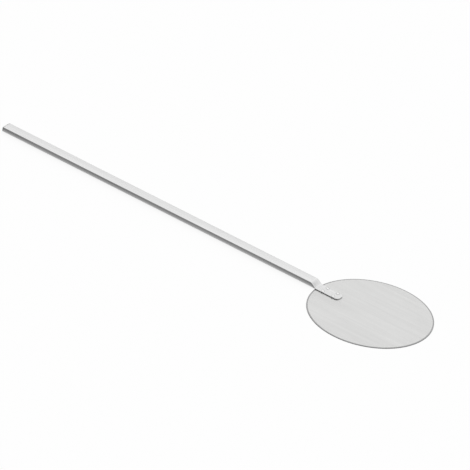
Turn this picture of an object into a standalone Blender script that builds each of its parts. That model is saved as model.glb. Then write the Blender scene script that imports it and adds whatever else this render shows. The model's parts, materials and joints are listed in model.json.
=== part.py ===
"""Round pizza peel: a flat stainless disc riveted to the tongue at the end of a rectangular tube handle.

Units are metres and +Z is up.  The origin is the centre of the blade's underside.  The handle runs
along -X, so +X is the way the peel is pushed, and Y = 0 is its plane of symmetry.
"""

import math

import bmesh
import bpy
from mathutils import Vector

MM = 0.001

# Driving dimensions
BLADE_DIAMETER = 320 * MM
BLADE_THICKNESS = 2 * MM
OVERALL_LENGTH = 1287 * MM
TUBE_WIDTH = 30 * MM
TUBE_HEIGHT = 13.5 * MM
TUBE_WALL = 1.2 * MM
FIT_GAP = 0.3 * MM

# Blade rim: rounded below, ground to a narrow bevel above
BLADE_RADIUS = BLADE_DIAMETER / 2
RIM_RADIUS = 0.3 * MM
BEVEL_WIDTH = 3.5 * MM
BEVEL_DROP = 0.25 * MM
BLADE_SEGMENTS = 180
RIM_STATIONS = 4

# Handle tube: at the blade its roof slopes down between upright sides onto its floor, and a tongue goes on
TUBE_FLOOR = BLADE_THICKNESS + FIT_GAP
CORNER_RADIUS = 2 * MM
CORNER_SHARE = 0.45
CORNER_STEPS = 4
RAMP_START = -BLADE_RADIUS - 13 * MM
RAMP_LENGTH = 16 * MM
RAMP_STATIONS = 12
TONGUE_THICKNESS = 2 * TUBE_WALL
TONGUE_TIP = -BLADE_RADIUS + 70 * MM
TONGUE_TIP_RADIUS = 10 * MM
TIP_STATIONS = 8
CAVITY_END_HEIGHT = 0.6 * MM

# End cap: a domed crown outside the tube and a hollow skirt inside it
CAP_CROWN_LENGTH = 3 * MM
CAP_SKIRT_LENGTH = 14 * MM
CAP_WALL = 1 * MM
CAP_LEAST_CORNER = 0.5 * MM
CAP_STATIONS = 7
BUTT_END = BLADE_RADIUS - OVERALL_LENGTH
CROWN_BASE = BUTT_END + CAP_CROWN_LENGTH
TUBE_END = CROWN_BASE + FIT_GAP

# Rivets: flush countersunk below, low domes above
RIVET_SHANK_RADIUS = 2.5 * MM
RIVET_DOME_RADIUS = 5 * MM
RIVET_DOME_HEIGHT = 2 * MM
RIVET_SINK_RADIUS = 4.2 * MM
RIVET_SINK_DEPTH = 1.2 * MM
RIVET_FLUSH_DEPTH = 0.1 * MM
RIVET_ROWS = {"rear": -138 * MM, "front": -107 * MM}
RIVET_SIDES = {"left": 10 * MM, "right": -10 * MM}
RIVET_SEGMENTS = 32
DOME_STATIONS = 6
CUT_MARGIN = 1 * MM

SHARP_ANGLE = 30
MERGE_DISTANCE = 0.001 * MM


def clear_scene():
    for obj in list(bpy.data.objects):
        bpy.data.objects.remove(obj)


def steel(name, colour, roughness):
    """A bare metal with the colour and polish of one piece."""
    material = bpy.data.materials.new(name)
    material.use_nodes = True
    shader = material.node_tree.nodes["Principled BSDF"]
    shader.inputs["Base Color"].default_value = (*colour, 1)
    shader.inputs["Metallic"].default_value = 1
    shader.inputs["Roughness"].default_value = roughness
    return material


def blade_steel():
    return steel("satin_sheet_steel", (0.58, 0.58, 0.57), 0.33)


def tube_steel():
    return steel("brushed_tube_steel", (0.63, 0.63, 0.63), 0.30)


def cap_steel():
    return steel("satin_cap_steel", (0.62, 0.62, 0.61), 0.36)


def rivet_steel():
    return steel("bright_rivet_steel", (0.67, 0.67, 0.66), 0.22)


def object_from(bm, name, material):
    """Turns a finished bmesh into a smooth-shaded object that keeps its sharp edges."""
    bmesh.ops.recalc_face_normals(bm, faces=bm.faces)
    mesh = bpy.data.meshes.new(name)
    bm.to_mesh(mesh)
    bm.free()
    mesh.shade_smooth()
    mesh.set_sharp_from_angle(angle=math.radians(SHARP_ANGLE))
    obj = bpy.data.objects.new(name, mesh)
    bpy.context.scene.collection.objects.link(obj)
    if material:
        mesh.materials.append(material)
    return obj


def turned(name, profile, segments, material=None):
    """Spins an open (radius, height) profile about Z and fills its two round ends."""
    bm = bmesh.new()
    points = [bm.verts.new((radius, 0, height)) for radius, height in profile]
    edges = [bm.edges.new(pair) for pair in zip(points, points[1:])]
    bmesh.ops.spin(
        bm,
        geom=points + edges,
        axis=(0, 0, 1),
        cent=(0, 0, 0),
        steps=segments,
        angle=math.tau,
        use_merge=True,
    )
    bmesh.ops.holes_fill(bm, edges=[edge for edge in bm.edges if edge.is_boundary])
    return object_from(bm, name, material)


def lofted(name, sections, material):
    """Joins rings with equal point counts, in order, and fills the first and the last."""
    bm = bmesh.new()
    rings = [[bm.verts.new(point) for point in section] for section in sections]
    for ring, following in zip(rings, rings[1:]):
        for i, corner in enumerate(ring):
            bm.faces.new((ring[i - 1], corner, following[i], following[i - 1]))
    bm.faces.new(rings[0])
    bm.faces.new(rings[-1])
    bmesh.ops.remove_doubles(bm, verts=bm.verts, dist=MERGE_DISTANCE)
    return object_from(bm, name, material)


def cut(obj, cutter):
    """Takes the cutter's shape out of the object."""
    cutter.hide_render = True
    cutter.display_type = "WIRE"
    modifier = obj.modifiers.new("Cut", "BOOLEAN")
    modifier.operation = "DIFFERENCE"
    modifier.object = cutter


def arc(centre, radius, start, end, stations):
    """Points on an arc in a plane, from start to end in degrees."""
    angles = [math.radians(start + (end - start) * i / stations) for i in range(stations + 1)]
    return [(centre[0] + radius * math.cos(a), centre[1] + radius * math.sin(a)) for a in angles]


def both_sides(right):
    """Closes an outline whose right half runs from the floor to the top."""
    middle = TUBE_FLOOR + TUBE_HEIGHT / 2
    return [(y, z + middle) for y, z in right] + [(-y, z + middle) for y, z in reversed(right)]


def tube_outline(height, half_width, inset=0):
    """The tube's (y, z) section at an outer height: upright sides and rounded corners that shrink with it."""
    radius = min(CORNER_RADIUS, CORNER_SHARE * height)
    shoulder = half_width - radius
    rise = height / 2 - radius
    drop = (TUBE_HEIGHT - height) / 2
    right = arc((shoulder, -rise - drop), radius - inset, -90, 0, CORNER_STEPS)
    right += arc((shoulder, rise - drop), radius - inset, 0, 90, CORNER_STEPS)
    return both_sides(right)


def cap_outline(inset):
    """The full tube's section inset all round, with corners that stay a little rounded."""
    radius = max(CORNER_RADIUS - inset, CAP_LEAST_CORNER)
    shoulder = TUBE_WIDTH / 2 - inset - radius
    rise = TUBE_HEIGHT / 2 - inset - radius
    return both_sides(
        arc((shoulder, -rise), radius, -90, 0, CORNER_STEPS) + arc((shoulder, rise), radius, 0, 90, CORNER_STEPS)
    )


def outer_height(x):
    """The tube's height at x: full height, then an eased ramp down to the tongue."""
    t = min(max((x - RAMP_START) / RAMP_LENGTH, 0), 1)
    eased = (t + t * t * (3 - 2 * t)) / 2
    return TUBE_HEIGHT + (TONGUE_THICKNESS - TUBE_HEIGHT) * eased


def tube_section(x, inset=0, half_width=TUBE_WIDTH / 2):
    """One ring of the handle at x."""
    return [(x, y, z) for y, z in tube_outline(outer_height(x), half_width, inset)]


def handle_tube(material):
    """A tube open at its butt end.  Its cavity closes in the ramp, and a solid tongue goes on from there."""
    ramp = [RAMP_START + RAMP_LENGTH * i / RAMP_STATIONS for i in range(RAMP_STATIONS + 1)]
    hollow = [x for x in ramp if outer_height(x) - 2 * TUBE_WALL > CAVITY_END_HEIGHT]
    inside = [tube_section(x, inset=TUBE_WALL) for x in reversed([TUBE_END] + hollow)]
    outside = [tube_section(x) for x in [TUBE_END] + ramp]
    corner_centre = (TONGUE_TIP - TONGUE_TIP_RADIUS, TUBE_WIDTH / 2 - TONGUE_TIP_RADIUS)
    for x, half_width in arc(corner_centre, TONGUE_TIP_RADIUS, 90, 0, TIP_STATIONS):
        outside.append(tube_section(x, half_width=half_width))
    return lofted("handle_tube", inside + outside, material)


def cap_ring(x, inset):
    """A ring of the end cap at x: the tube's full section, inset all round."""
    return [(x, y, z) for y, z in cap_outline(inset)]


def end_cap(material):
    """A plug whose skirt slides into the tube and whose domed crown closes it."""
    skirt_end = CROWN_BASE + CAP_SKIRT_LENGTH
    skirt_inset = TUBE_WALL + FIT_GAP
    bore_inset = skirt_inset + CAP_WALL
    sections = [cap_ring(CROWN_BASE - CAP_WALL, bore_inset), cap_ring(skirt_end, bore_inset)]
    sections += [cap_ring(skirt_end, skirt_inset), cap_ring(CROWN_BASE, skirt_inset)]
    for back, out in arc((0, 0), CAP_CROWN_LENGTH, 0, 90, CAP_STATIONS):
        sections.append(cap_ring(CROWN_BASE - out, CAP_CROWN_LENGTH - back))
    return lofted("end_cap", sections, material)


def blade(material):
    """A flat disc with a rounded lower rim and a ground bevel around its upper face."""
    rim = arc((BLADE_RADIUS - RIM_RADIUS, RIM_RADIUS), RIM_RADIUS, -90, 0, RIM_STATIONS)
    rim.append((BLADE_RADIUS, BLADE_THICKNESS - BEVEL_DROP))
    rim.append((BLADE_RADIUS - BEVEL_WIDTH, BLADE_THICKNESS))
    return turned("blade", rim, BLADE_SEGMENTS, material)


def rivet_body(clearance, top):
    """The rivet's countersunk foot and its shank up to top, grown by clearance."""
    shank = RIVET_SHANK_RADIUS + clearance
    foot = (RIVET_SINK_RADIUS + clearance, RIVET_FLUSH_DEPTH)
    return [foot, (shank, RIVET_FLUSH_DEPTH + RIVET_SINK_DEPTH), (shank, top)]


def rivet(name, place, material):
    """A solid rivet: its foot sits flush in the blade and its dome clamps the tongue."""
    seat = TUBE_FLOOR + TONGUE_THICKNESS + FIT_GAP
    curve = (RIVET_DOME_RADIUS**2 + RIVET_DOME_HEIGHT**2) / (2 * RIVET_DOME_HEIGHT)
    spread = math.degrees(math.asin(RIVET_DOME_RADIUS / curve))
    dome = arc((0, seat + RIVET_DOME_HEIGHT - curve), curve, 90 - spread, 90, DOME_STATIONS)
    made = turned(name, rivet_body(0, seat) + dome[:-1], RIVET_SEGMENTS, material)
    made.location = place
    return made


def rivet_hole(name, place):
    """The cutter for one rivet's hole through the blade and the tongue, open at both ends."""
    sink = rivet_body(FIT_GAP, TUBE_FLOOR + TONGUE_THICKNESS + CUT_MARGIN)
    mouth = (sink[0][0], -CUT_MARGIN)
    made = turned(name, [mouth] + sink, RIVET_SEGMENTS)
    made.location = place
    return made


def main():
    clear_scene()
    disc = blade(blade_steel())
    handle = handle_tube(tube_steel())
    end_cap(cap_steel())
    bright = rivet_steel()
    for row, x in RIVET_ROWS.items():
        for side, y in RIVET_SIDES.items():
            hole = rivet_hole(f"hole_{row}_{side}", (x, y, 0))
            cut(disc, hole)
            cut(handle, hole)
            rivet(f"rivet_{row}_{side}", (x, y, 0), bright)


main()
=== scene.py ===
import json
import math

import bmesh
import bpy
from mathutils import Matrix, Vector


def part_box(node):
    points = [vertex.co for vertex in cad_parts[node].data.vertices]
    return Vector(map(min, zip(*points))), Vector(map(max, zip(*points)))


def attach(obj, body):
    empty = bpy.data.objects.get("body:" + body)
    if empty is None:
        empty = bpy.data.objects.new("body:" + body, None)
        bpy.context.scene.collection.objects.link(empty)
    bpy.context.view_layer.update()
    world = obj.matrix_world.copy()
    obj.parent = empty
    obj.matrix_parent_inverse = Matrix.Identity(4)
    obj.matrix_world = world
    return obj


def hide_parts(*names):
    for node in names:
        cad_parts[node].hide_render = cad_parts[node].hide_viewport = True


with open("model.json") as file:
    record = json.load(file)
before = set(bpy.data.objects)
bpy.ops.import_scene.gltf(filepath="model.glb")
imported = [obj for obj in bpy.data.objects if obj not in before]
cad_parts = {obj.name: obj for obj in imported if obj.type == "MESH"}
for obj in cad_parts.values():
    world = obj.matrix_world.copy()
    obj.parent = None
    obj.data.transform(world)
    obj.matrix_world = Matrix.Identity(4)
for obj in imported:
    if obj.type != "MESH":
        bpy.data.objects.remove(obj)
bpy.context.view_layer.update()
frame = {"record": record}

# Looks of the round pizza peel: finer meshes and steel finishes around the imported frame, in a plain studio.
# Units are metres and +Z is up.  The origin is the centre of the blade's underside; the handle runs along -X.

MM = 0.001
BODY = "root"


# Sizes that the frame gives
BLADE_LOW, BLADE_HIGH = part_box("blade")
TUBE_LOW, TUBE_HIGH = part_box("handle_tube")
CAP_LOW, CAP_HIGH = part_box("end_cap")
RIVETS = [part["node"] for part in frame["record"]["subparts"] if part["node"].startswith("rivet_")]
BLADE_RADIUS = BLADE_HIGH.y
BLADE_TOP = BLADE_HIGH.z
TUBE_FLOOR = TUBE_LOW.z
TUBE_HEIGHT = TUBE_HIGH.z - TUBE_FLOOR
TUBE_WIDTH = CAP_HIGH.y - CAP_LOW.y
TUBE_END = TUBE_LOW.x
TONGUE_TIP = TUBE_HIGH.x
BUTT_END = CAP_LOW.x
SKIRT_END = CAP_HIGH.x
FIT_GAP = 0.3 * MM

# Blade
BLADE_SEGMENTS = 288
RIM_RADIUS = 0.3 * MM
BEVEL_WIDTH = 3.5 * MM
BEVEL_DROP = 0.25 * MM
BEVEL_EASE = 0.15 * MM
FLAT_MARGIN = 2 * MM
RIM_STEPS = 5
BEVEL_SLOT = 1
EDGE_SLOT = 2

# Handle
TUBE_WALL = 1.2 * MM
CORNER_RADIUS = 2 * MM
CORNER_SHARE = 0.45
CORNER_STEPS = 8
TOP_STEPS = 12
SIDE_STEPS = 10
TOP_CROWN = 0.35 * MM
SIDE_CROWN = 0.35 * MM
RAMP_START = -BLADE_RADIUS - 13 * MM
RAMP_LENGTH = 16 * MM
RAMP_STATIONS = 60
RAMP_BOW = 2 * MM
BOW_POWER = 4
BEND_REACH = 2.2 * MM
BEND_SAMPLES = 10
TONGUE_THICKNESS = 2 * TUBE_WALL
TONGUE_TIP_RADIUS = 10 * MM
TIP_STATIONS = 20
CAVITY_END_HEIGHT = 0.6 * MM
SLIT_HEIGHT = 0.2 * MM
SLIT_WIDTH = 22 * MM
SLIT_DEPTH = 6 * MM

# End cap
CROWN_BASE = TUBE_END - FIT_GAP
CAP_CROWN_LENGTH = CROWN_BASE - BUTT_END
CAP_WALL = 1 * MM
CAP_LEAST_CORNER = 0.5 * MM
CAP_STATIONS = 18

# Rivets
SHANK_RADIUS = 2.5 * MM
SINK_RADIUS = 4.2 * MM
SINK_DEPTH = 1.2 * MM
DOME_HEIGHT = 2 * MM
DOME_EASE = 0.25 * MM
HOLE_GAP = 0.1 * MM
RIVET_SEGMENTS = 64
DOME_STEPS = 14
CUT_MARGIN = 1 * MM

# Shading
SHARP_ANGLE = 30
MERGE_DISTANCE = 0.0005 * MM
STRAIGHT_GRAIN = "straight_grain"
ROUND_GRAIN = "round_grain"
NOISE_LOW = 0.3
NOISE_HIGH = 0.7

# Studio: the sky's steps are (sine of the elevation, radiance) from the bottom up
SKY_STRENGTH = 1.6
SKY_BEHIND = (
    (-1, 0.60), (-0.6, 0.30), (-0.2, 0.40), (0.1, 0.72), (0.35, 1.08), (0.51, 1.27), (0.8, 1.5), (1, 1.55),
)
SKY_VIEWER_SIDE = (
    (-1, 0.9), (-0.68, 0.95), (-0.57, 0.6), (-0.49, 0.34), (-0.4, 0.28),
    (-0.1, 0.29), (0.2, 0.38), (0.5, 0.5), (0.85, 0.95), (1, 1.55),
)
SIDE_BLEND = 0.25
FAR_END_START = -0.4
FAR_END_FULL = 0.5
FAR_END_SHARE = 0.88
FLOOR_SIZE = 20
FLOOR_DROP = 0.2 * MM
FLOOR_GREY = 0.12
FLOOR_GLOW = 0.868
FLOOR_ROUGHNESS = 0.9


# Mesh helpers

def finished(bm, name, materials):
    """Turns a bmesh into an object with its materials, its doubled points merged and its faces turned out."""
    bmesh.ops.remove_doubles(bm, verts=bm.verts, dist=MERGE_DISTANCE)
    bmesh.ops.recalc_face_normals(bm, faces=bm.faces)
    mesh = bpy.data.meshes.new(name)
    bm.to_mesh(mesh)
    bm.free()
    for material in materials:
        mesh.materials.append(material)
    obj = bpy.data.objects.new(name, mesh)
    bpy.context.scene.collection.objects.link(obj)
    smooth(obj)
    return obj


def smooth(obj):
    """Smooth shading that breaks only at sharp edges."""
    obj.data.shade_smooth()
    obj.data.set_sharp_from_angle(angle=math.radians(SHARP_ANGLE))


def straight_grain(obj):
    """UVs whose U runs along the handle, which is the way the steel is brushed."""
    mesh = obj.data
    grain = mesh.uv_layers.new(name=STRAIGHT_GRAIN)
    for loop in mesh.loops:
        place = mesh.vertices[loop.vertex_index].co
        grain.data[loop.index].uv = (place.x, place.y + place.z)


def round_grain(obj, centre):
    """UVs whose U runs round a vertical axis through the centre."""
    mesh = obj.data
    grain = mesh.uv_layers.new(name=ROUND_GRAIN)
    for face in mesh.polygons:
        middle = face.center - centre
        turn = math.atan2(middle.y, middle.x)
        for index in face.loop_indices:
            place = mesh.vertices[mesh.loops[index].vertex_index].co - centre
            apart = (math.atan2(place.y, place.x) - turn + math.pi) % math.tau - math.pi
            reach = place.xy.length
            grain.data[index].uv = ((turn + apart) * middle.xy.length, reach + place.z)


def arc(centre, radius, start, end, steps):
    """Points on an arc in a plane, from start to end in degrees."""
    angles = [math.radians(start + (end - start) * i / steps) for i in range(steps + 1)]
    return [(centre[0] + radius * math.cos(a), centre[1] + radius * math.sin(a)) for a in angles]


def between(start, end, steps):
    """Points evenly spaced inside the line from start to end, without the two ends."""
    mixes = [i / steps for i in range(1, steps)]
    return [(start[0] + (end[0] - start[0]) * t, start[1] + (end[1] - start[1]) * t) for t in mixes]


def spun(profile, segments, centre):
    """A closed solid of revolution about a vertical axis from a (radius, height) profile, its ends filled."""
    bm = bmesh.new()
    points = [bm.verts.new((radius, 0, height)) for radius, height in profile]
    edges = [bm.edges.new(pair) for pair in zip(points, points[1:])]
    bmesh.ops.spin(
        bm,
        geom=points + edges,
        axis=(0, 0, 1),
        cent=(0, 0, 0),
        steps=segments,
        angle=math.tau,
        use_merge=True,
    )
    bmesh.ops.holes_fill(bm, edges=[edge for edge in bm.edges if edge.is_boundary])
    bmesh.ops.translate(bm, vec=centre, verts=bm.verts)
    return bm


def lofted(sections):
    """A closed solid through rings with equal point counts, in order."""
    bm = bmesh.new()
    rings = [[bm.verts.new(point) for point in section] for section in sections]
    for ring, following in zip(rings, rings[1:]):
        for i, corner in enumerate(ring):
            bm.faces.new((ring[i - 1], corner, following[i], following[i - 1]))
    bm.faces.new(rings[0])
    bm.faces.new(rings[-1])
    return bm


def cut(obj, cutters):
    """Takes the cutters' shapes out of the object for good, then removes the cutters."""
    for cutter in cutters:
        modifier = obj.modifiers.new("cut", "BOOLEAN")
        modifier.object = cutter
    bpy.context.view_layer.update()
    evaluated = obj.evaluated_get(bpy.context.evaluated_depsgraph_get())
    whole = obj.data
    obj.data = bpy.data.meshes.new_from_object(evaluated)
    obj.data.name = obj.name
    obj.modifiers.clear()
    bpy.data.meshes.remove(whole)
    for cutter in cutters:
        bpy.data.objects.remove(cutter)
    smooth(obj)


def stand_for(obj, node):
    """The piece rides on the body in place of a CAD node, which it hides."""
    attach(obj, BODY)
    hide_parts(node)


# Blade

def rivet_place(node):
    low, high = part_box(node)
    return Vector(((low.x + high.x) / 2, (low.y + high.y) / 2, 0))


def rivet_body(node, clearance, top):
    """The rivet's countersunk foot and its shank up to top, grown by the clearance."""
    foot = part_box(node)[0].z
    shank = SHANK_RADIUS + clearance
    return [(SINK_RADIUS + clearance, foot), (shank, foot + SINK_DEPTH), (shank, top)]


def rivet_hole(node):
    sink = rivet_body(node, HOLE_GAP, TUBE_FLOOR + TONGUE_THICKNESS + CUT_MARGIN)
    mouth = (sink[0][0], -CUT_MARGIN)
    return finished(spun([mouth] + sink, RIVET_SEGMENTS, rivet_place(node)), f"hole_{node}", [])


def blade(sheet, ground, sheared):
    """The disc: a softened lower edge, an upright sheared rim, a ground bevel and a flat top."""
    inner = BLADE_RADIUS - BEVEL_WIDTH
    bevel_foot = BLADE_TOP - BEVEL_DROP
    ease_drop = BEVEL_EASE * BEVEL_DROP / BEVEL_WIDTH
    profile = [(inner - FLAT_MARGIN, 0)]
    profile += arc((BLADE_RADIUS - RIM_RADIUS, RIM_RADIUS), RIM_RADIUS, -90, 0, RIM_STEPS)
    profile.append((BLADE_RADIUS, bevel_foot - BEVEL_EASE))
    profile.append((BLADE_RADIUS - BEVEL_EASE, bevel_foot + ease_drop))
    profile.append((inner + BEVEL_EASE, BLADE_TOP - ease_drop))
    profile.append((inner - BEVEL_EASE, BLADE_TOP))
    profile.append((inner - FLAT_MARGIN, BLADE_TOP))
    made = finished(spun(profile, BLADE_SEGMENTS, Vector()), "blade_disc", [sheet, ground, sheared])
    cut(made, [rivet_hole(node) for node in RIVETS])
    # The bevel and the rim take the darker finishes, whose colours hold painted shade along the rim.
    for face in made.data.polygons:
        reach = face.center.xy.length
        if face.center.z > BLADE_TOP / 2 and inner < reach < BLADE_RADIUS - BEVEL_EASE:
            face.material_index = BEVEL_SLOT
        elif reach > BLADE_RADIUS - RIM_RADIUS:
            face.material_index = EDGE_SLOT
    straight_grain(made)
    round_grain(made, Vector())
    stand_for(made, "blade")


# Handle

def both_sides(right):
    """Closes an outline whose right half runs from the floor to the top."""
    middle = TUBE_FLOOR + TUBE_HEIGHT / 2
    return [(y, z + middle) for y, z in right] + [(-y, z + middle) for y, z in reversed(right)]


def tube_outline(height, half_width, inset=0):
    """The tube's (y, z) section at an outer height, with upright sides and corners that shrink with it."""
    radius = min(CORNER_RADIUS, CORNER_SHARE * height)
    shoulder = half_width - radius
    rise = height / 2 - radius
    drop = (TUBE_HEIGHT - height) / 2
    low = arc((shoulder, -rise - drop), radius - inset, -90, 0, CORNER_STEPS)
    top = arc((shoulder, rise - drop), radius - inset, 0, 90, CORNER_STEPS)
    right = between((0, low[0][1]), low[0], TOP_STEPS) + low + between(low[-1], top[0], SIDE_STEPS)
    right += top + between(top[-1], (0, top[-1][1]), TOP_STEPS)
    return both_sides(crowned(right, height, half_width - inset, drop))


def crowned(right, height, half_width, drop):
    """Walls that stand a little proud in their middle, as drawn tube has, and flatten toward the tongue."""
    fullness = (height - TONGUE_THICKNESS) / (TUBE_HEIGHT - TONGUE_THICKNESS)
    shaped = []
    for y, z in right:
        aloft = (z + drop) / (height / 2)
        away = y / half_width
        sunk = TOP_CROWN * fullness * min(away**2, 1) * aloft
        narrowed = SIDE_CROWN * fullness * min(aloft**2, 1) * away
        shaped.append((y - narrowed, z - sunk))
    return shaped


def ramp_height(x):
    """The tube's height at x: full height, then an eased ramp down to the tongue."""
    t = min(max((x - RAMP_START) / RAMP_LENGTH, 0), 1)
    eased = (t + t * t * (3 - 2 * t)) / 2
    return TUBE_HEIGHT + (TONGUE_THICKNESS - TUBE_HEIGHT) * eased


def outer_height(x):
    """The ramp's height averaged along the tube, which rounds the bend at each of its ends."""
    apart = [BEND_REACH * i / BEND_SAMPLES for i in range(-BEND_SAMPLES, BEND_SAMPLES + 1)]
    return sum(ramp_height(x + step) for step in apart) / len(apart)


def tube_section(x, inset=0, half_width=TUBE_WIDTH / 2):
    return [(x, y, z) for y, z in tube_outline(outer_height(x), half_width, inset)]


def bowed(section):
    """Moves the middle of the top back, so that the ramp's two bends curve across the tube."""
    half_width = max(y for x, y, z in section)
    lowest = min(z for x, y, z in section)
    highest = max(z for x, y, z in section)
    moved = []
    for x, y, z in section:
        across = max(1 - (y / half_width) ** 2, 0)
        aloft = (z - lowest) / (highest - lowest)
        moved.append((x - RAMP_BOW * across * aloft**BOW_POWER, y, z))
    return moved


def handle_tube(steel):
    """The hollow tube, its roof brought down onto its floor, and the flat tongue with a rounded tip."""
    reach = RAMP_LENGTH + 2 * BEND_REACH
    ramp = [RAMP_START - BEND_REACH + reach * i / RAMP_STATIONS for i in range(RAMP_STATIONS + 1)]
    hollow = [x for x in ramp if outer_height(x) - TONGUE_THICKNESS > CAVITY_END_HEIGHT]
    inside = [bowed(tube_section(x, inset=TUBE_WALL)) for x in reversed(hollow)]
    inside.append(tube_section(TUBE_END, inset=TUBE_WALL))
    outside = [tube_section(TUBE_END)] + [bowed(tube_section(x)) for x in ramp]
    corner_centre = (TONGUE_TIP - TONGUE_TIP_RADIUS, TUBE_WIDTH / 2 - TONGUE_TIP_RADIUS)
    for x, half_width in arc(corner_centre, TONGUE_TIP_RADIUS, 90, 0, TIP_STATIONS):
        outside.append(tube_section(x, half_width=half_width))
    made = finished(lofted(inside + outside), "handle", [steel])
    cut(made, [rivet_hole(node) for node in RIVETS] + [tip_slit()])
    straight_grain(made)
    stand_for(made, "handle_tube")


def tip_slit():
    """The line where the tube's two walls meet at the tongue's tip."""
    bm = bmesh.new()
    bmesh.ops.create_cube(bm, size=1)
    scale = Matrix.Diagonal((SLIT_DEPTH * 2, SLIT_WIDTH, SLIT_HEIGHT, 1))
    place = Matrix.Translation((TONGUE_TIP, 0, TUBE_FLOOR + TONGUE_THICKNESS / 2))
    bmesh.ops.transform(bm, matrix=place @ scale, verts=bm.verts)
    return finished(bm, "tip_slit", [])


# End cap

def cap_ring(x, inset):
    """The full tube's section at x, inset all round, with corners that stay a little rounded."""
    radius = max(CORNER_RADIUS - inset, CAP_LEAST_CORNER)
    shoulder = TUBE_WIDTH / 2 - inset - radius
    rise = TUBE_HEIGHT / 2 - inset - radius
    low = arc((shoulder, -rise), radius, -90, 0, CORNER_STEPS)
    top = arc((shoulder, rise), radius, 0, 90, CORNER_STEPS)
    right = between((0, low[0][1]), low[0], TOP_STEPS) + low + between(low[-1], top[0], SIDE_STEPS)
    right += top + between(top[-1], (0, top[-1][1]), TOP_STEPS)
    return [(x, y, z) for y, z in both_sides(crowned(right, TUBE_HEIGHT, TUBE_WIDTH / 2, 0))]


def end_cap(steel):
    """A pressed cap: a domed crown flush with the tube and a skirt inside it."""
    skirt_inset = TUBE_WALL + FIT_GAP
    bore_inset = skirt_inset + CAP_WALL
    sections = [cap_ring(CROWN_BASE - CAP_WALL, bore_inset), cap_ring(SKIRT_END, bore_inset)]
    sections += [cap_ring(SKIRT_END, skirt_inset), cap_ring(CROWN_BASE, skirt_inset)]
    for back, out in arc((0, 0), CAP_CROWN_LENGTH, 0, 90, CAP_STATIONS):
        sections.append(cap_ring(CROWN_BASE - out, CAP_CROWN_LENGTH - back))
    made = finished(lofted(sections), "butt_cap", [steel])
    straight_grain(made)
    stand_for(made, "end_cap")


# Rivets

def rivet(node, steel):
    """A countersunk foot and shank below a low domed head with a softened edge."""
    low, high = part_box(node)
    dome_radius = (high.x - low.x) / 2
    seat = high.z - DOME_HEIGHT
    curve = (dome_radius**2 + DOME_HEIGHT**2) / (2 * DOME_HEIGHT)
    half_angle = math.degrees(math.asin(dome_radius / curve))
    dome = arc((0, high.z - curve), curve, 90 - half_angle, 90, DOME_STEPS)
    profile = rivet_body(node, 0, seat) + [(dome_radius - DOME_EASE, seat)] + dome[:-1]
    centre = rivet_place(node)
    made = finished(spun(profile, RIVET_SEGMENTS, centre), f"steel_{node}", [steel])
    straight_grain(made)
    round_grain(made, centre)
    stand_for(made, node)


# Materials

class Finish:
    """A metal under construction: a Principled shader and short ways to feed it."""

    def __init__(self, name, colour, anisotropy, grain):
        self.material = bpy.data.materials.new(name)
        self.material.use_nodes = True
        self.nodes = self.material.node_tree.nodes
        self.links = self.material.node_tree.links
        self.shader = self.nodes["Principled BSDF"]
        self.shader.inputs["Metallic"].default_value = 1
        self.shader.inputs["Anisotropic"].default_value = anisotropy
        self.colour = colour
        self.place = self.nodes.new("ShaderNodeTexCoord").outputs["Object"]
        uv = self.nodes.new("ShaderNodeUVMap")
        uv.uv_map = grain
        self.unrolled = uv.outputs["UV"]
        tangent = self.nodes.new("ShaderNodeTangent")
        tangent.direction_type = "UV_MAP"
        tangent.uv_map = grain
        self.links.new(tangent.outputs["Tangent"], self.shader.inputs["Tangent"])

    def noise(self, scale, detail=4, stretch=(1, 1, 1), source=None):
        """Noise with about scale features a metre, drawn out along the axes whose stretch is small."""
        mapping = self.nodes.new("ShaderNodeMapping")
        mapping.inputs["Scale"].default_value = stretch
        texture = self.nodes.new("ShaderNodeTexNoise")
        texture.inputs["Scale"].default_value = scale
        texture.inputs["Detail"].default_value = detail
        self.links.new(source or self.place, mapping.inputs["Vector"])
        self.links.new(mapping.outputs["Vector"], texture.inputs["Vector"])
        return texture.outputs["Fac"]

    def spread(self, value, low, high, start=NOISE_LOW, end=NOISE_HIGH):
        """Maps a value from start..end, which holds most of a noise, onto low..high, and no further."""
        node = self.nodes.new("ShaderNodeMapRange")
        node.inputs["From Min"].default_value = start
        node.inputs["From Max"].default_value = end
        node.inputs["To Min"].default_value = low
        node.inputs["To Max"].default_value = high
        self.links.new(value, node.inputs["Value"])
        return node.outputs["Result"]

    def combine(self, operation, *values):
        """Runs the operation through the values from left to right."""
        total = values[0]
        for value in values[1:]:
            node = self.nodes.new("ShaderNodeMath")
            node.operation = operation
            for socket, part in zip(node.inputs, (total, value)):
                if isinstance(part, (int, float)):
                    socket.default_value = part
                else:
                    self.links.new(part, socket)
            total = node.outputs["Value"]
        return total

    def axis(self, name):
        split = self.nodes.new("ShaderNodeSeparateXYZ")
        self.links.new(self.place, split.inputs["Vector"])
        return split.outputs[name]

    def done(self, shade, rough, relief, depth):
        """Links the colour's shade factor, the roughness and the surface's relief of a given depth."""
        tint = self.nodes.new("ShaderNodeMix")
        tint.data_type = "RGBA"
        tint.blend_type = "MULTIPLY"
        tint.inputs["Factor"].default_value = 1
        tint.inputs["A"].default_value = (*self.colour, 1)
        grey = self.nodes.new("ShaderNodeCombineColor")
        for channel in grey.inputs:
            self.links.new(shade, channel)
        self.links.new(grey.outputs["Color"], tint.inputs["B"])
        self.links.new(tint.outputs["Result"], self.shader.inputs["Base Color"])
        self.links.new(rough, self.shader.inputs["Roughness"])
        bump = self.nodes.new("ShaderNodeBump")
        bump.inputs["Distance"].default_value = depth
        self.links.new(relief, bump.inputs["Height"])
        self.links.new(bump.outputs["Normal"], self.shader.inputs["Normal"])
        return self.material


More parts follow.
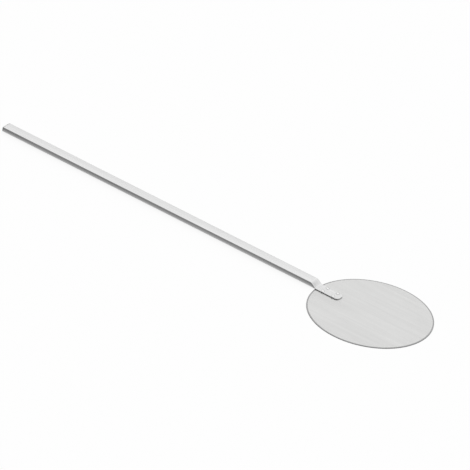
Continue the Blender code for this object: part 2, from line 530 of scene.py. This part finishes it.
def blade_steel():
    """Rolled sheet with a straight satin grain and scratches that thicken toward the leading edge."""
    made = Finish("satin_sheet_steel", colour=(0.575, 0.575, 0.57), anisotropy=0.45, grain=STRAIGHT_GRAIN)
    lines = made.noise(scale=700, detail=5, stretch=(0.012, 1, 1))
    streaks = made.noise(scale=60, detail=4, stretch=(0.06, 1, 1))
    clouds = made.noise(scale=14, detail=3)
    fine = made.noise(scale=1500, detail=3, stretch=(0.01, 1, 1))
    marks = made.spread(fine, low=0, high=1, start=0.60, end=0.66)
    worn = made.spread(made.axis("X"), low=0.15, high=1, start=-0.05, end=0.16)
    patches = made.spread(made.noise(scale=30, detail=3), low=0, high=1, start=0.42, end=0.62)
    scratches = made.combine("MULTIPLY", marks, worn, patches)
    shade = made.combine(
        "MULTIPLY",
        made.spread(lines, low=0.95, high=1.03),
        made.spread(streaks, low=0.96, high=1.03),
        made.spread(clouds, low=0.97, high=1.02),
        made.spread(scratches, low=1, high=0.86, start=0, end=1),
    )
    rough = made.combine(
        "ADD",
        made.spread(lines, low=0.29, high=0.37),
        made.spread(clouds, low=-0.03, high=0.05),
        made.spread(scratches, low=0, high=0.12, start=0, end=1),
    )
    relief = made.combine("SUBTRACT", lines, scratches)
    return made.done(shade, rough, relief, depth=0.015 * MM)


def ground_painted_shade_steel():
    """The bevel: ground round the rim, with painted shade in its colour, so it is darker than the sheet and
    stands in for the shade and dark reflections along the rim.
    """
    # Painted shade: this dark base colour stands in for the shade and dark reflections along the blade's rim.
    made = Finish("ground_edge_painted_shade_steel", colour=(0.30, 0.30, 0.30), anisotropy=0.5, grain=ROUND_GRAIN)
    lines = made.noise(scale=1600, detail=4, stretch=(0.02, 1, 1), source=made.unrolled)
    chatter = made.noise(scale=220, detail=3, stretch=(1, 0.1, 1), source=made.unrolled)
    shade = made.combine(
        "MULTIPLY",
        made.spread(lines, low=0.93, high=1.03),
        made.spread(chatter, low=0.97, high=1.02),
    )
    rough = made.combine(
        "ADD",
        made.spread(lines, low=0.20, high=0.28),
        made.spread(chatter, low=-0.02, high=0.03),
    )
    return made.done(shade, rough, relief=lines, depth=0.012 * MM)


def sheared_painted_shade_steel():
    """The rim's upright cut edge, striped from top to bottom by the shears; its dark colour is partly the cut
    steel's own tone and partly painted shade and dark reflection.
    """
    # Painted shade: this dark base colour is partly the cut edge's own tone and partly stands in for the
    # shade and dark reflections along the rim.
    made = Finish("sheared_rim_painted_shade_steel", colour=(0.22, 0.22, 0.222), anisotropy=0.2, grain=ROUND_GRAIN)
    stripes = made.noise(scale=1400, detail=3, stretch=(1, 0.08, 1), source=made.unrolled)
    patches = made.noise(scale=90, detail=3)
    shade = made.combine(
        "MULTIPLY",
        made.spread(stripes, low=0.86, high=1.06),
        made.spread(patches, low=0.93, high=1.05),
    )
    rough = made.combine(
        "ADD",
        made.spread(stripes, low=0.36, high=0.46),
        made.spread(patches, low=-0.03, high=0.04),
    )
    return made.done(shade, rough, relief=stripes, depth=0.03 * MM)


def tube_steel():
    """Drawn tube brushed along its length, faintly strained and smoother where the press flattened it."""
    made = Finish("brushed_tube_steel", colour=(0.63, 0.63, 0.63), anisotropy=0.5, grain=STRAIGHT_GRAIN)
    lines = made.noise(scale=900, detail=6, stretch=(0.008, 1, 1))
    streaks = made.noise(scale=120, detail=4, stretch=(0.03, 1, 1))
    clouds = made.noise(scale=18, detail=3, stretch=(0.4, 1, 1))
    pressed_from = RAMP_START - 8 * MM
    pressed_to = RAMP_START + 4 * MM
    pressed = made.spread(made.axis("X"), low=0, high=1, start=pressed_from, end=pressed_to)
    strain = made.noise(scale=500, detail=3, stretch=(1, 0.12, 1))
    strained = made.combine("MULTIPLY", made.spread(strain, low=0, high=1), pressed)
    shade = made.combine(
        "MULTIPLY",
        made.spread(lines, low=0.94, high=1.03),
        made.spread(streaks, low=0.965, high=1.025),
        made.spread(clouds, low=0.98, high=1.015),
        made.spread(strained, low=1, high=0.96, start=0, end=1),
    )
    rough = made.combine(
        "ADD",
        made.spread(lines, low=0.26, high=0.34),
        made.spread(clouds, low=-0.03, high=0.04),
        made.spread(strained, low=0, high=-0.03, start=0, end=1),
    )
    strain_depth = 0.5
    relief = made.combine("ADD", lines, made.combine("MULTIPLY", strained, strain_depth))
    return made.done(shade, rough, relief, depth=0.015 * MM)


def cap_steel():
    """Pressed cap with a soft blasted satin and faint handling marks."""
    made = Finish("satin_cap_steel", colour=(0.62, 0.62, 0.615), anisotropy=0.1, grain=STRAIGHT_GRAIN)
    pits = made.noise(scale=2400, detail=3)
    clouds = made.noise(scale=60, detail=3)
    shade = made.combine(
        "MULTIPLY",
        made.spread(pits, low=0.94, high=1.03),
        made.spread(clouds, low=0.96, high=1.02),
    )
    rough = made.combine(
        "ADD",
        made.spread(pits, low=0.32, high=0.40),
        made.spread(clouds, low=-0.03, high=0.05),
    )
    return made.done(shade, rough, relief=pits, depth=0.02 * MM)


def rivet_steel():
    """Bright rivet heads with the faint rings of the setting tool."""
    made = Finish("bright_rivet_steel", colour=(0.67, 0.67, 0.665), anisotropy=0.3, grain=ROUND_GRAIN)
    rings = made.noise(scale=2600, detail=3, stretch=(0.05, 1, 1), source=made.unrolled)
    dents = made.noise(scale=420, detail=2)
    shade = made.combine(
        "MULTIPLY",
        made.spread(rings, low=0.92, high=1.03),
        made.spread(dents, low=0.95, high=1.02),
    )
    rough = made.combine(
        "ADD",
        made.spread(rings, low=0.16, high=0.24),
        made.spread(dents, low=-0.02, high=0.05),
    )
    dent_depth = 2
    relief = made.combine("ADD", rings, made.combine("MULTIPLY", dents, dent_depth))
    return made.done(shade, rough, relief, depth=0.02 * MM)


# Studio

def camera():
    """A long lens that looks down across the peel, rolled so that the handle runs up to the left."""
    azimuth = math.radians(29.89)
    elevation = math.radians(30.51)
    roll = math.radians(10.47)
    lens = 1200
    sensor = 36
    width = 1.1675
    aim = Vector((-0.4442, 0.0432, 0))
    level = Vector((math.cos(azimuth), math.sin(azimuth), 0))
    away = Vector((math.sin(azimuth), -math.cos(azimuth), 0))
    back = away * math.cos(elevation) + Vector((0, 0, math.sin(elevation)))
    upright = back.cross(level)
    right = level * math.cos(roll) + upright * math.sin(roll)
    up = upright * math.cos(roll) - level * math.sin(roll)
    data = bpy.data.cameras.new("camera")
    data.lens = lens
    data.sensor_width = sensor
    data.clip_end = 100
    obj = bpy.data.objects.new("camera", data)
    bpy.context.scene.collection.objects.link(obj)
    place = Matrix.Translation(aim + back * (width * lens / sensor))
    obj.matrix_world = place @ Matrix((right, up, back)).transposed().to_4x4()
    bpy.context.scene.camera = obj


def floor():
    """A pale table just below the blade.  Its glow keeps shadows faint, and the steel does not mirror it."""
    bm = bmesh.new()
    bmesh.ops.create_grid(bm, x_segments=4, y_segments=4, size=FLOOR_SIZE)
    mesh = bpy.data.meshes.new("floor")
    bm.to_mesh(mesh)
    bm.free()
    material = bpy.data.materials.new("white_floor")
    material.use_nodes = True
    shader = material.node_tree.nodes["Principled BSDF"]
    shader.inputs["Base Color"].default_value = (FLOOR_GREY, FLOOR_GREY, FLOOR_GREY, 1)
    shader.inputs["Roughness"].default_value = FLOOR_ROUGHNESS
    shader.inputs["Specular IOR Level"].default_value = 0
    shader.inputs["Emission Color"].default_value = (1, 1, 1, 1)
    shader.inputs["Emission Strength"].default_value = FLOOR_GLOW
    mesh.materials.append(material)
    obj = bpy.data.objects.new("floor", mesh)
    bpy.context.scene.collection.objects.link(obj)
    obj.location.z = -FLOOR_DROP
    obj.visible_glossy = False


def ladder(tree, height, steps):
    """Grey levels that follow the height in the sky, as shares of its strength."""
    ramp = tree.nodes.new("ShaderNodeValToRGB")
    tree.links.new(height, ramp.inputs["Fac"])
    stops = ramp.color_ramp.elements
    while len(stops) < len(steps):
        stops.new(0)
    for stop, (sine, radiance) in zip(stops, steps):
        stop.position = (sine + 1) / 2
        grey = radiance / SKY_STRENGTH
        stop.color = (grey, grey, grey, 1)
    return ramp.outputs["Color"]


def studio_sky():
    """A soft dome: bright overhead, pale behind the peel, dark on the viewer's side and dimmer toward +X."""
    world = bpy.data.worlds.new("studio")
    bpy.context.scene.world = world
    world.use_nodes = True
    tree = world.node_tree
    direction = tree.nodes.new("ShaderNodeTexCoord").outputs["Generated"]
    split = tree.nodes.new("ShaderNodeSeparateXYZ")
    tree.links.new(direction, split.inputs["Vector"])
    height = tree.nodes.new("ShaderNodeMapRange")
    height.inputs["From Min"].default_value = -1
    tree.links.new(split.outputs["Z"], height.inputs["Value"])
    behind = ladder(tree, height.outputs["Result"], SKY_BEHIND)
    viewer_side = ladder(tree, height.outputs["Result"], SKY_VIEWER_SIDE)
    side = tree.nodes.new("ShaderNodeMapRange")
    side.interpolation_type = "SMOOTHSTEP"
    side.inputs["From Min"].default_value = SIDE_BLEND
    side.inputs["From Max"].default_value = -SIDE_BLEND
    tree.links.new(split.outputs["Y"], side.inputs["Value"])
    mix = tree.nodes.new("ShaderNodeMix")
    mix.data_type = "RGBA"
    tree.links.new(side.outputs["Result"], mix.inputs["Factor"])
    tree.links.new(behind, mix.inputs["A"])
    tree.links.new(viewer_side, mix.inputs["B"])
    fall = tree.nodes.new("ShaderNodeMapRange")
    fall.inputs["From Min"].default_value = FAR_END_START
    fall.inputs["From Max"].default_value = FAR_END_FULL
    fall.inputs["To Min"].default_value = SKY_STRENGTH
    fall.inputs["To Max"].default_value = SKY_STRENGTH * FAR_END_SHARE
    tree.links.new(split.outputs["X"], fall.inputs["Value"])
    background = tree.nodes["Background"]
    tree.links.new(fall.outputs["Result"], background.inputs["Strength"])
    tree.links.new(mix.outputs["Result"], background.inputs["Color"])


# The bevel's and the rim's finishes carry painted shade along the blade's edge.
blade(blade_steel(), ground_painted_shade_steel(), sheared_painted_shade_steel())
handle_tube(tube_steel())
end_cap(cap_steel())
setting = rivet_steel()
for node in RIVETS:
    rivet(node, setting)
camera()
floor()
studio_sky()
bpy.context.scene.view_settings.view_transform = "Standard"
